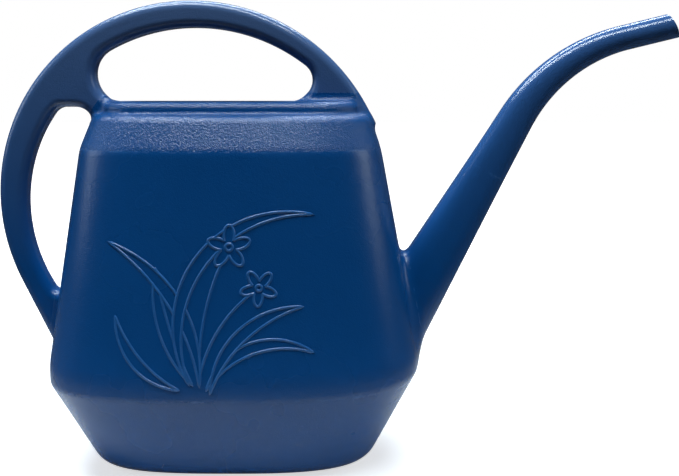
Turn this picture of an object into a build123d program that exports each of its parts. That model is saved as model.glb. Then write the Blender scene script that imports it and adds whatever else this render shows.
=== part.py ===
"""A one-gallon watering can with a round carrying handle, a rear grip and a long swan-neck spout.

+X points along the spout, +Z is up, and Y = 0 is the can's plane of symmetry.
The origin is the middle of the base, on the surface that the can stands on.
The real can is one hollow moulding. Here it is cut into the regions that a maker would name,
which meet face to face, and the hollows of the grips and of the spout open into the tank.
"""

import os
from math import acos, asin, atan, atan2, cos, degrees, dist, hypot, pi, radians, sin, sqrt, tan

from build123d import *

# ---- driving dimensions, in millimetres and degrees ----
wall = 2.0  # thickness of the moulded wall, everywhere

# tank: half lengths towards the rear grip and towards the spout, and half depths
tank_height = 218.0
girth_rear = 115.8  # the widest place, where the bevel meets the wall
girth_front = 114.9
girth_depth = 70.0
base_rear = 86.6  # where the bevel would meet the floor, if the edge were sharp
base_front = 83.7
base_depth = 48.5
bevel_top_rear = 55.5  # height at which the bevel meets the wall
bevel_top_front = 60.0
bevel_top_depth = 55.5
shoulder_height = 197.5  # height of the crease under the shoulder
shoulder_rear = 93.4
shoulder_front = 90.7
shoulder_depth = 50.0
deck_rear = 85.0  # where the shoulder would meet the flat deck, if the edge were sharp
deck_front = 83.5
deck_depth = 40.0
base_round = 17.0  # radius of the edge between base and bevel
deck_round = 8.0  # radius of the edge between shoulder and deck
crease_blend = 2.5  # how softly the bevel and the shoulder turn into the wall
wall_swell = 1.08  # the wall is this much steeper than a straight line at the shoulder
plan_power_rear = 3.0  # squareness of the plan: 2 is an ellipse, more is boxier
plan_power_front = 2.7

# underside: a shallow channel, pushed up between the standing rim and the middle pad
foot_rim_width = 9.0
foot_corner = 22.0
foot_push_up = 1.5
foot_pad_length = 62.0
foot_pad_width = 22.0

# raised collar on the deck, and the fill opening through its top
collar_length = 155.0
collar_width = 55.0
collar_corner = 22.0
collar_height = 7.7
collar_edge_round = 5.0
collar_middle = -1.0
fill_length = 98.0
fill_width = 38.0
fill_middle = -17.0

# handle: one circle outside, a round-ended opening for the hand, a slot behind the tank
handle_radius = 121.6
handle_drop = 53.6  # the circle's centre lies this far below the deck
handle_toe = 3.6  # how far the front foot stands out past the deck's sharp edge
handle_toe_drop = 6.0  # and how far below the deck it ends
handle_heel = 12.0  # the foot's underside slopes inwards by this much, down to the shoulder
handle_thickness = 17.0
handle_edge_round = 5.5
roof_inset = 11.6  # the hand opening's roof has this much less radius than the handle
roof_shift = (2.0, -4.4)  # from the handle's centre to the roof's
hand_rear_angle = 118.7  # where the roof runs into the round ends of the opening
hand_front_angle = 52.5
hand_rear_round = 17.0
hand_front_round = 11.0
hand_foot_angle = 45.0  # slope of the fillets at the feet of the opening
grip_depth = 16.2  # between the rear grip's outer and inner edge, at its middle
slot_inset = 22.5  # the slot's rear side has this much less radius than the handle
slot_drop = 4.5  # and its centre lies this far below the handle's
slot_tuck = 6.5  # the slot's straight front side lies this far inside the shoulder
slot_top = 4.3  # above the deck
slot_top_round = 10.0
slot_bottom_drop = 57.4  # below the handle's centre
slot_bottom_round = 5.0
grip_foot_drop = 100.9  # the grip's tail ends this far below the handle's centre
grip_foot_depth = 3.1  # and this far inside the tank's rear wall
grip_split_angle = 155.0  # round the handle's circle, where the rear grip begins

# spout: a straight cone, a bend that thins out, and a straight round tip
spout_root = (94.1, 73.1)  # X and Z of the cone's middle line, just inside the tank
spout_angle = 60.5
spout_cone_length = 126.0
spout_root_height = 41.6  # size across the cone in the plane of symmetry
spout_root_width = 34.0  # and along Y
spout_neck_height = 25.8
spout_neck_width = 22.0
spout_tip_diameter = 15.4
spout_bend = ((174.3, 214.4), (193.0, 237.7), (215.8, 254.4))  # middle line of the bend
spout_tip = (239.0, 264.0)  # where the straight round tip begins
spout_tip_angle = 13.6
spout_tip_length = 29.9
spout_mouth_angle = 29.0  # the mouth is cut aslant: its face looks up by this much
spout_taper_power = 1.3  # how soon the bend thins out
spout_root_power = 2.7  # squareness of the cone's section; the tip's is 2, a circle
spout_overlap = 0.06  # the cone starts inside the tank, by this share of its length

# moulded relief on the two long walls: arching blades and a spray of blossoms
relief_height = 0.9
blades = (  # root X and Z, tip X and Z, sideways bow, widest width
    ((-21.0, 66.0), (50.0, 162.0), 36.0, 7.5),
    ((-15.0, 65.0), (-68.0, 146.0), -14.0, 7.5),
    ((-27.0, 63.0), (-64.0, 104.0), 8.0, 6.5),
    ((-19.0, 66.0), (-40.0, 132.0), 6.0, 6.5),
    ((-9.0, 61.0), (44.0, 110.0), 12.0, 7.0),
    ((-11.0, 63.0), (50.0, 84.0), 14.0, 6.5),
)
stem_root = (-15.0, 70.0)
blossoms = (  # middle X and Z, petal length, turn, bow of the stem
    ((2.0, 144.0), 12.5, 18.0, 5.0),
    ((19.0, 121.0), 10.5, 50.0, 6.0),
)
petal_count = 5
petal_share = 0.24  # half width of a petal as a share of its length
eye_share = 0.3
stem_width = 2.6
stem_gap = 0.5  # between a blossom's petals and the leaves that it interrupts

# ---- values worked out from the driving dimensions ----
plan_points = 24
spout_points = 16
tank_rear = (base_rear, bevel_top_rear, girth_rear, shoulder_rear, deck_rear)
tank_front = (base_front, bevel_top_front, girth_front, shoulder_front, deck_front)
tank_depth = (base_depth, bevel_top_depth, girth_depth, shoulder_depth, deck_depth)
half_handle = handle_thickness / 2
handle_centre_z = tank_height - handle_drop
toe_x = deck_front + handle_toe
toe_z = tank_height - handle_toe_drop
handle_centre_x = toe_x - sqrt(handle_radius**2 - (toe_z - handle_centre_z) ** 2)
handle_centre = (handle_centre_x, handle_centre_z)


def polar(centre, radius, angle):
    """The point at an angle, in degrees, on a circle."""
    return (centre[0] + radius * cos(radians(angle)), centre[1] + radius * sin(radians(angle)))


def across_spout(middle, angle):
    """The plane across the spout at a point of its middle line, facing towards the mouth."""
    along = (cos(radians(angle)), 0, sin(radians(angle)))
    return Plane(origin=(middle[0], 0, middle[1]), x_dir=(0, 1, 0), z_dir=along)


# ---- tank ----
def edge_rounded(corner, slope, radius, height, inset):
    """Half size at a height over a flat face, where a round edge leads into a sloping side."""
    tilt = atan(slope)
    tangent_height = radius * (1 - sin(tilt))
    if height >= tangent_height:
        return corner + slope * height - inset / cos(tilt)
    centre = corner - tangent_height / cos(tilt)
    return centre + sqrt(max((radius - inset) ** 2 - (radius - height) ** 2, 0.0))


def soft_min(first, second, blend):
    """The smaller of two sizes, rounded off where they are nearly equal."""
    overlap = max(blend - abs(first - second), 0.0) / blend
    return min(first, second) - overlap**2 * blend / 4


def half_size(z, base, bevel_top, girth, shoulder, deck, inset):
    """Half size of the tank at height z in one direction: bevel, girth, wall, shoulder, deck."""
    bevel_slope = (girth - base) / bevel_top
    wall_slope = wall_swell * (girth - shoulder) / (shoulder_height - bevel_top)
    shoulder_slope = (shoulder - deck) / (tank_height - shoulder_height)
    below = edge_rounded(base, bevel_slope, base_round, z, inset)
    side = shoulder + wall_slope * (shoulder_height - z) - inset
    above = edge_rounded(deck, shoulder_slope, deck_round, tank_height - z, inset)
    lower = soft_min(below, soft_min(side, girth - inset, crease_blend), crease_blend)
    return soft_min(lower, above, crease_blend)


def plan_radius(angle, rear, front, depth):
    """Distance from the middle to the rim of a plan whose two ends have their own length."""
    length, power = (front, plan_power_front) if cos(angle) >= 0 else (rear, plan_power_rear)
    reach = abs(cos(angle) / length) ** power + abs(sin(angle) / depth) ** power
    return reach ** (-1 / power)


def tank_section(z, inset):
    """The tank's closed plan at height z, drawn inwards by inset."""
    rear, front, depth = (half_size(z, *sizes, inset) for sizes in (tank_rear, tank_front, tank_depth))
    rim = []
    for step in range(plan_points):
        angle = 2 * pi * step / plan_points
        radius = plan_radius(angle, rear, front, depth)
        rim.append((radius * cos(angle), radius * sin(angle)))
    with BuildSketch(Plane.XY.offset(z)) as section:
        with BuildLine():
            Spline(*rim, periodic=True)
        make_face()
    return section.sketch


def tank_levels(inset):
    """Heights of the sections: close together round the edges and creases, wide apart elsewhere."""
    turns = [radians(a) for a in (0, 24, 48)]
    base_levels = [base_round - (base_round - inset) * cos(a) for a in turns]
    deck_levels = [tank_height - deck_round + (deck_round - inset) * cos(a) for a in reversed(turns)]
    bevel_rise = bevel_top_depth - base_round
    bevel_levels = [base_round + bevel_rise * share for share in (0.1, 0.5, 0.85, 1.0)]
    wall_rise = shoulder_height - bevel_top_front
    wall_levels = [bevel_top_front + wall_rise * share for share in (0.0, 0.07, 0.2, 0.6, 0.94)]
    shoulder_rise = tank_height - deck_round - shoulder_height
    shoulder_levels = [shoulder_height + shoulder_rise * share for share in (0.0, 0.3)]
    return base_levels + bevel_levels + wall_levels + shoulder_levels + deck_levels


def tank_body(inset):
    """The tank as a closed solid, its surface drawn inwards by inset, or outwards if negative."""
    with BuildPart() as body:
        loft([tank_section(z, inset) for z in tank_levels(inset)])
    return body.part


# ---- collar round the fill opening ----
def collar_body(inset):
    """The collar as a closed solid that starts a little below the deck."""
    with BuildPart() as body:
        with BuildSketch(Plane.XY.offset(tank_height - 2 * wall)):
            with Locations((collar_middle, 0)):
                RectangleRounded(
                    collar_length - 2 * inset, collar_width - 2 * inset, collar_corner - inset
                )
        extrude(amount=collar_height + 2 * wall - inset)
        fillet(body.faces().sort_by(Axis.Z)[-1].edges(), collar_edge_round - inset)
    return body.part


# ---- handle ----
def handle_rim():
    """Outside of the handle: its circle, and the straight tail of the rear grip down to the girth."""
    foot_z = -grip_foot_drop
    wall_x = -half_size(handle_centre[1] + foot_z, *tank_rear, 0)
    foot_x = wall_x + grip_foot_depth - handle_centre[0]
    foot = (handle_centre[0] + foot_x, handle_centre[1] + foot_z)
    bearing = degrees(atan2(foot_z, foot_x)) % 360
    tail_angle = bearing - degrees(acos(min(handle_radius / hypot(foot_x, foot_z), 1.0)))
    toe_angle = degrees(atan2(toe_z - handle_centre[1], toe_x - handle_centre[0]))
    with BuildSketch() as rim:
        with BuildLine():
            circle = CenterArc(handle_centre, handle_radius, toe_angle, tail_angle - toe_angle)
            heel = (toe_x - handle_heel, shoulder_height)
            Polyline(circle @ 1, foot, (0, foot[1]), (0, shoulder_height), heel, circle @ 0)
        make_face()
    return rim.sketch


def hand_opening():
    """The opening for the hand: a curved roof, two round ends and sloping feet."""
    roof = (handle_centre[0] + roof_shift[0], handle_centre[1] + roof_shift[1])
    roof_radius = handle_radius - roof_inset
    rear = polar(roof, roof_radius - hand_rear_round, hand_rear_angle)
    front = polar(roof, roof_radius - hand_front_round, hand_front_angle)
    rear_turn = 180 + hand_foot_angle - hand_rear_angle
    front_turn = -hand_foot_angle - hand_front_angle
    floor = tank_height + collar_height / 2
    with BuildSketch() as opening:
        with BuildLine():
            CenterArc(roof, roof_radius, hand_front_angle, hand_rear_angle - hand_front_angle)
            rear_end = CenterArc(rear, hand_rear_round, hand_rear_angle, rear_turn) @ 1
            front_end = CenterArc(front, hand_front_round, hand_front_angle, front_turn) @ 1
            rear_foot = (rear_end.X + (rear_end.Y - floor) * tan(radians(hand_foot_angle)), floor)
            front_foot = (front_end.X - (front_end.Y - floor) * tan(radians(hand_foot_angle)), floor)
            Polyline(rear_end, rear_foot, front_foot, front_end)
        make_face()
    return opening.sketch


def finger_slot():
    """The slot between the rear grip and the tank: an arc behind, a straight side in front."""
    slot_radius = handle_radius - slot_inset
    slot_front = slot_tuck - shoulder_rear
    middle_x = handle_centre[0] - handle_radius + grip_depth + slot_radius
    middle_z = handle_centre[1] - slot_drop
    top = tank_height + slot_top
    bottom = handle_centre[1] - slot_bottom_drop
    top_angle = 180 - degrees(asin((top - middle_z) / slot_radius))
    bottom_angle = 180 - degrees(asin((bottom - middle_z) / slot_radius))
    with BuildSketch() as slot:
        with BuildLine():
            side = CenterArc((middle_x, middle_z), slot_radius, top_angle, bottom_angle - top_angle)
            Polyline(side @ 1, (slot_front, bottom), (slot_front, top), side @ 0)
        make_face()
        fillet(slot.vertices().group_by(Axis.Y)[-1], slot_top_round)
        fillet(slot.vertices().group_by(Axis.Y)[0].sort_by(Axis.X)[0], slot_bottom_round)
    return slot.sketch


def handle_body(inset):
    """The handle as a closed solid that runs on into the tank, drawn inwards by inset."""
    with BuildPart() as body:
        with BuildSketch(Plane.XZ):
            add(handle_rim())
            add(hand_opening(), mode=Mode.SUBTRACT)
            add(finger_slot(), mode=Mode.SUBTRACT)
            offset(amount=-inset, kind=Kind.INTERSECTION, mode=Mode.REPLACE)
        extrude(amount=half_handle - inset, both=True)
        fillet(body.faces().filter_by(Axis.Y).edges(), handle_edge_round - inset)
    return body.part


# ---- spout ----
def spout_section(middle, angle, height, width, power):
    """A closed ring across the spout: a superellipse on a plane that faces along the spout."""
    ring = []
    for step in range(spout_points):
        turn = 2 * pi * step / spout_points
        reach = (abs(cos(turn)) ** power + abs(sin(turn)) ** power) ** (-1 / power)
        ring.append((width / 2 * reach * cos(turn), height / 2 * reach * sin(turn)))
    with BuildSketch(across_spout(middle, angle)) as section:
        with BuildLine():
            Spline(*ring, periodic=True)
        make_face()
    return section.sketch


def cone_body(inset):
    """The straight cone as a closed solid that starts inside the tank, drawn inwards by inset."""
    with BuildPart() as body:
        sections = []
        for share in (-spout_overlap, 1.0):
            middle = polar(spout_root, share * spout_cone_length, spout_angle)
            height = spout_root_height + share * (spout_neck_height - spout_root_height)
            width = spout_root_width + share * (spout_neck_width - spout_root_width)
            ring = (height - 2 * inset, width - 2 * inset, spout_root_power)
            sections.append(spout_section(middle, spout_angle, *ring))
        loft(sections)
    return body.part


def neck_body(inset):
    """The bend as a closed solid, from the cone's end to the round tip, drawn inwards by inset."""
    stations = [polar(spout_root, spout_cone_length, spout_angle), *spout_bend, spout_tip]
    angles = [spout_angle]
    for before, after in zip(stations, stations[2:]):
        angles.append(degrees(atan2(after[1] - before[1], after[0] - before[0])))
    angles.append(spout_tip_angle)
    travel = [0.0]
    for before, after in zip(stations, stations[1:]):
        travel.append(travel[-1] + dist(before, after))
    with BuildPart() as body:
        sections = []
        for middle, angle, travelled in zip(stations, angles, travel):
            thinning = (1 - travelled / travel[-1]) ** spout_taper_power
            height = spout_tip_diameter + thinning * (spout_neck_height - spout_tip_diameter)
            width = spout_tip_diameter + thinning * (spout_neck_width - spout_tip_diameter)
            power = 2 + thinning * (spout_root_power - 2)
            sections.append(spout_section(middle, angle, height - 2 * inset, width - 2 * inset, power))
        loft(sections)
    return body.part


# ---- moulded relief ----
def blade_outline(root, tip, bow, width):
    """A narrow leaf or stem: two arcs from root to tip, its middle line bowed sideways."""
    length = dist(root, tip)
    aside = ((root[1] - tip[1]) / length, (tip[0] - root[0]) / length)
    middle = ((tip[0] + root[0]) / 2, (tip[1] + root[1]) / 2)
    left = (middle[0] + aside[0] * (bow + width / 2), middle[1] + aside[1] * (bow + width / 2))
    right = (middle[0] + aside[0] * (bow - width / 2), middle[1] + aside[1] * (bow - width / 2))
    with BuildSketch() as outline:
        with BuildLine():
            ThreePointArc(root, left, tip)
            ThreePointArc(tip, right, root)
        make_face()
    return outline.sketch


def leaves_outline():
    """The tuft of blades and the stems that carry the blossoms."""
    with BuildSketch() as tuft:
        for root, tip, bow, width in blades:
            add(blade_outline(root, tip, bow, width))
        for middle, petal, turn, bow in blossoms:
            add(blade_outline(stem_root, middle, bow, stem_width))
        for middle, petal, turn, bow in blossoms:
            with Locations(middle):
                Circle(petal + stem_gap, mode=Mode.SUBTRACT)
    return tuft.sketch


def blossoms_outline():
    """The blossoms: rounded petals round a small eye."""
    with BuildSketch() as spray:
        for middle, petal, turn, bow in blossoms:
            with Locations(Location((*middle, 0), (0, 0, turn))):
                Circle(petal * eye_share)
                with PolarLocations(petal / 2, petal_count):
                    Ellipse(petal / 2, petal * petal_share)
    return spray.sketch


# ---- pieces ----
os.makedirs("parts", exist_ok=True)

tank_outside = tank_body(0)
tank_inside = tank_body(wall)
collar_outside = collar_body(0)
collar_inside = collar_body(wall)
handle_outside = handle_body(0)
handle_inside = handle_body(wall)
cone_inside = cone_body(wall)

girth_plane = Plane.XY.offset(bevel_top_depth)
crease_plane = Plane.XY.offset(shoulder_height)
deck_plane = Plane.XY.offset(tank_height)

with BuildPart() as tank_shell:
    add(tank_outside)
    add(tank_inside, mode=Mode.SUBTRACT)

# floor and bevel of the tank
foot_slope = atan((girth_depth - base_depth) / bevel_top_depth)
foot_inset = base_round * (1 - sin(foot_slope)) / cos(foot_slope) + foot_rim_width
with BuildPart() as base_pan:
    add(tank_shell.part)
    split(bisect_by=girth_plane, keep=Keep.BOTTOM)
    with BuildSketch() as push_up:
        with Locations(((base_front - base_rear) / 2, 0)):
            RectangleRounded(
                base_front + base_rear - 2 * foot_inset, 2 * (base_depth - foot_inset), foot_corner
            )
        SlotOverall(foot_pad_length, foot_pad_width, mode=Mode.SUBTRACT)
    extrude(amount=foot_push_up + wall)
    extrude(push_up.sketch, amount=foot_push_up, mode=Mode.SUBTRACT)
base_pan.part.label = "base_pan"
export_step(base_pan.part, "parts/base_pan.step")

# walls from the girth to the crease, open to the spout and to the rear grip's tail
with BuildPart() as tank_wall:
    add(tank_shell.part)
    split(bisect_by=girth_plane, keep=Keep.TOP)
    split(bisect_by=crease_plane, keep=Keep.BOTTOM)
    add(handle_inside, mode=Mode.SUBTRACT)
    add(cone_inside, mode=Mode.SUBTRACT)
tank_wall.part.label = "tank_wall"
export_step(tank_wall.part, "parts/tank_wall.step")

# sloping shoulder and flat deck, open under the collar and under the handle's feet
with BuildPart() as shoulder_deck:
    add(tank_shell.part)
    split(bisect_by=crease_plane, keep=Keep.TOP)
    add(collar_inside, mode=Mode.SUBTRACT)
    add(handle_inside, mode=Mode.SUBTRACT)
shoulder_deck.part.label = "shoulder_deck"
export_step(shoulder_deck.part, "parts/shoulder_deck.step")

# raised collar, with the fill opening through its top
with BuildPart() as fill_collar:
    add(collar_outside)
    add(collar_inside, mode=Mode.SUBTRACT)
    split(bisect_by=deck_plane, keep=Keep.TOP)
    with BuildSketch(deck_plane):
        with Locations((fill_middle, 0)):
            SlotOverall(fill_length, fill_width)
    extrude(amount=2 * collar_height, mode=Mode.SUBTRACT)
    add(handle_inside, mode=Mode.SUBTRACT)
fill_collar.part.label = "fill_collar"
export_step(fill_collar.part, "parts/fill_collar.step")

# hollow handle, in two regions that meet across the ring above the finger slot
with BuildPart() as handle_shell:
    add(handle_outside)
    add(tank_outside, mode=Mode.SUBTRACT)
    add(collar_outside, mode=Mode.SUBTRACT)
    add(handle_inside, mode=Mode.SUBTRACT)

split_turn = radians(grip_split_angle)
grip_plane = Plane(
    origin=(handle_centre[0], 0, handle_centre[1]),
    x_dir=(0, 1, 0),
    z_dir=(sin(split_turn), 0, -cos(split_turn)),
)
with BuildPart() as carry_handle:
    add(handle_shell.part)
    split(bisect_by=grip_plane, keep=Keep.TOP)
carry_handle.part.label = "carry_handle"
export_step(carry_handle.part, "parts/carry_handle.step")

with BuildPart() as rear_grip:
    add(handle_shell.part)
    split(bisect_by=grip_plane, keep=Keep.BOTTOM)
rear_grip.part.label = "rear_grip"
export_step(rear_grip.part, "parts/rear_grip.step")

# hollow spout, in three regions: the cone that rises from the tank, the bend, and the round tip
with BuildPart() as spout_cone:
    add(cone_body(0))
    add(tank_outside, mode=Mode.SUBTRACT)
    add(cone_inside, mode=Mode.SUBTRACT)
spout_cone.part.label = "spout_cone"
export_step(spout_cone.part, "parts/spout_cone.step")

with BuildPart() as spout_neck:
    add(neck_body(0))
    add(neck_body(wall), mode=Mode.SUBTRACT)
spout_neck.part.label = "spout_neck"
export_step(spout_neck.part, "parts/spout_neck.step")

mouth = polar(spout_tip, spout_tip_length, spout_tip_angle)
with BuildPart() as spout_mouth:
    with BuildSketch(across_spout(spout_tip, spout_tip_angle)):
        Circle(spout_tip_diameter / 2)
        Circle(spout_tip_diameter / 2 - wall, mode=Mode.SUBTRACT)
    extrude(amount=spout_tip_length + spout_tip_diameter)
    split(bisect_by=across_spout(mouth, spout_mouth_angle), keep=Keep.BOTTOM)
spout_mouth.part.label = "spout_mouth"
export_step(spout_mouth.part, "parts/spout_mouth.step")

# relief of leaves and blossoms, the same on both long walls
relief_skin = tank_body(-relief_height)
for side, reach in (("right", girth_depth + wall), ("left", -girth_depth - wall)):
    with BuildPart() as leaves:
        with BuildSketch(Plane.XZ):
            add(leaves_outline())
        extrude(amount=reach)
        add(relief_skin, mode=Mode.INTERSECT)
        add(tank_outside, mode=Mode.SUBTRACT)
    leaves.part.label = side + "_leaves"
    export_step(leaves.part, "parts/" + side + "_leaves.step")

    with BuildPart() as spray:
        with BuildSketch(Plane.XZ):
            add(blossoms_outline())
        extrude(amount=reach)
        add(relief_skin, mode=Mode.INTERSECT)
        add(tank_outside, mode=Mode.SUBTRACT)
    spray.part.label = side + "_blossoms"
    export_step(spray.part, "parts/" + side + "_blossoms.step")
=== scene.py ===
import math

import bmesh
import bpy
import numpy as np
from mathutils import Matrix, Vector


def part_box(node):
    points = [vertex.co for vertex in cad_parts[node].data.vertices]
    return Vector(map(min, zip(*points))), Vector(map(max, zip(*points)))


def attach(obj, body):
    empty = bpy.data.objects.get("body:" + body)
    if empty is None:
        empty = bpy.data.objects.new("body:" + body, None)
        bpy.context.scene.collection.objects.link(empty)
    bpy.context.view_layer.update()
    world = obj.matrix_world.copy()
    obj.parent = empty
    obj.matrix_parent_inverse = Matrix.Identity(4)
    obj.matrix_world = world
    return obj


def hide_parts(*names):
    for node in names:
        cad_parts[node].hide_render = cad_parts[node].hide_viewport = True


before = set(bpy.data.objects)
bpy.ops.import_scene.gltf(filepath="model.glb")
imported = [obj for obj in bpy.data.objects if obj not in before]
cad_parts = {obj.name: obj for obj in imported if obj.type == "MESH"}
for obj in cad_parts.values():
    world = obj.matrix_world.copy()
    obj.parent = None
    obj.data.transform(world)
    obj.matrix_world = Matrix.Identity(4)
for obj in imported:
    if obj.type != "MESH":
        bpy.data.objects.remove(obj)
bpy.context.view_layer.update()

# ---------------------------------------------------------------------------
# Base of the tank: the floor and the bevel up to the girth. The whole can is one hollow
# blow moulding in blue polyethylene, so each piece is cut from one continuous skin, 2 mm
# thick. Under it the foot is pushed up between a standing rim and a middle pad.
# ---------------------------------------------------------------------------
mm = 0.001
wall_thickness = 2.0
girth_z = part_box("tank_wall")[0].z / mm
crease_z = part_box("tank_wall")[1].z / mm
deck_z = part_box("shoulder_deck")[1].z / mm
base_half = (83.7, 86.6, 48.5)  # towards the spout, towards the grip, and across
girth_half = (114.9, 115.8, 70.0)
shoulder_half = (90.7, 93.4, 50.0)
deck_half = (83.5, 85.0, 40.0)
bevel_rise = (60.0, 55.5, 55.5)
foot_edge_round = 17.0
deck_edge_round = 8.0
crease_blend = 1.0
wall_swell = 1.08
plan_squareness = (2.7, 3.0)
foot_plate = (-1.5, 67, 30, 20)  # inside the standing rim: middle, half length, half width, corner
foot_pad = (0, 31, 11, 11)
channel_depth = 1.5
channel_blend = 1.2
lattice_pitch = 1.4


def blended_max(a, b, blend):
    """The larger of two distances, rounded off where they are nearly equal."""
    overlap = np.maximum(blend - np.abs(a - b), 0) / blend
    return np.maximum(a, b) + overlap**2 * blend / 4


def blended_min(a, b, blend):
    """The smaller of two distances, with a fillet between them."""
    return -blended_max(-a, -b, blend)


def round_edge(a, b, cosine, radius):
    """Inside of both faces, with a round edge; cosine is that of their normals' angle."""
    ra, rb = a + radius, b + radius
    spread = np.maximum(1 - cosine**2, 1e-6)
    arc = np.sqrt(np.maximum(ra**2 + rb**2 - 2 * cosine * ra * rb, 0) / spread) - radius
    wedge = (ra > cosine * rb) & (rb > cosine * ra)
    return np.where(wedge, arc, np.maximum(a, b))


def side_distance(x, y, z, halves, slopes):
    """Distance from a sloping side whose plan is a soft-cornered oval, and its normal's Z."""
    ahead = x >= 0
    power = np.where(ahead, *plan_squareness)
    length_slope = np.where(ahead, slopes[0], slopes[1])
    length = np.maximum(np.where(ahead, halves[0], halves[1]) + length_slope * z, 5)
    depth = np.maximum(halves[2] + slopes[2] * z, 5)
    a, b = np.abs(x) / length, np.abs(y) / depth
    reach = np.maximum((a**power + b**power) ** (1 / power), 1e-6)
    to_x = (a / reach) ** (power - 1) / length
    to_y = (b / reach) ** (power - 1) / depth
    to_z = -(to_x * a * length_slope + to_y * b * slopes[2])
    steepness = np.sqrt(to_x**2 + to_y**2 + to_z**2) + 1e-9
    return (reach - 1) / steepness, to_z / steepness


def rounded_plate(x, y, middle, half_x, half_y, corner):
    """Distance in plan from a rectangle with round corners."""
    over_x, over_y = np.abs(x - middle) - half_x + corner, np.abs(y) - half_y + corner
    outside = np.hypot(np.maximum(over_x, 0), np.maximum(over_y, 0))
    return outside + np.minimum(np.maximum(over_x, over_y), 0) - corner


def tank_field(x, y, z):
    """Distance from the tank: round foot edge, bevel, girth, leaning wall, shoulder and deck."""
    bevel = [(g - b) / h for g, b, h in zip(girth_half, base_half, bevel_rise)]
    walls = zip(girth_half, shoulder_half, bevel_rise)
    lean = [-wall_swell * (g - s) / (crease_z - h) for g, s, h in walls]
    pitch = [-(s - d) / (deck_z - crease_z) for s, d in zip(shoulder_half, deck_half)]
    wall_foot = [s - k * crease_z for s, k in zip(shoulder_half, lean)]
    shoulder_foot = [d - k * deck_z for d, k in zip(deck_half, pitch)]
    below, below_tilt = side_distance(x, y, z, base_half, bevel)
    side, _ = side_distance(x, y, z, wall_foot, lean)
    girth, _ = side_distance(x, y, z, girth_half, (0, 0, 0))
    above, above_tilt = side_distance(x, y, z, shoulder_foot, pitch)
    below = round_edge(below, -z, -below_tilt, foot_edge_round)
    above = round_edge(above, z - deck_z, above_tilt, deck_edge_round)
    lower = blended_max(below, blended_max(side, girth, crease_blend), crease_blend)
    tank = blended_max(lower, above, crease_blend)
    plate, pad = rounded_plate(x, y, *foot_plate), rounded_plate(x, y, *foot_pad)
    channel = np.maximum(np.maximum(plate, -pad), z - channel_depth)
    return blended_max(tank, -channel, channel_blend)


def slope_of(field, p):
    """Field and gradient at points."""
    nudge = 0.02
    columns = []
    for axis in range(3):
        step = np.zeros(3)
        step[axis] = nudge
        columns.append((field(*(p + step).T) - field(*(p - step).T)) / (2 * nudge))
    return field(*p.T), np.stack(columns, 1)


def pull_onto(field, p, turns):
    """Moves points straight onto the surface of a field."""
    least_slope = 0.05
    for _ in range(turns):
        value, slope = slope_of(field, p)
        p = p - (value / np.maximum((slope**2).sum(1), least_slope))[:, None] * slope
    return p


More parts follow.
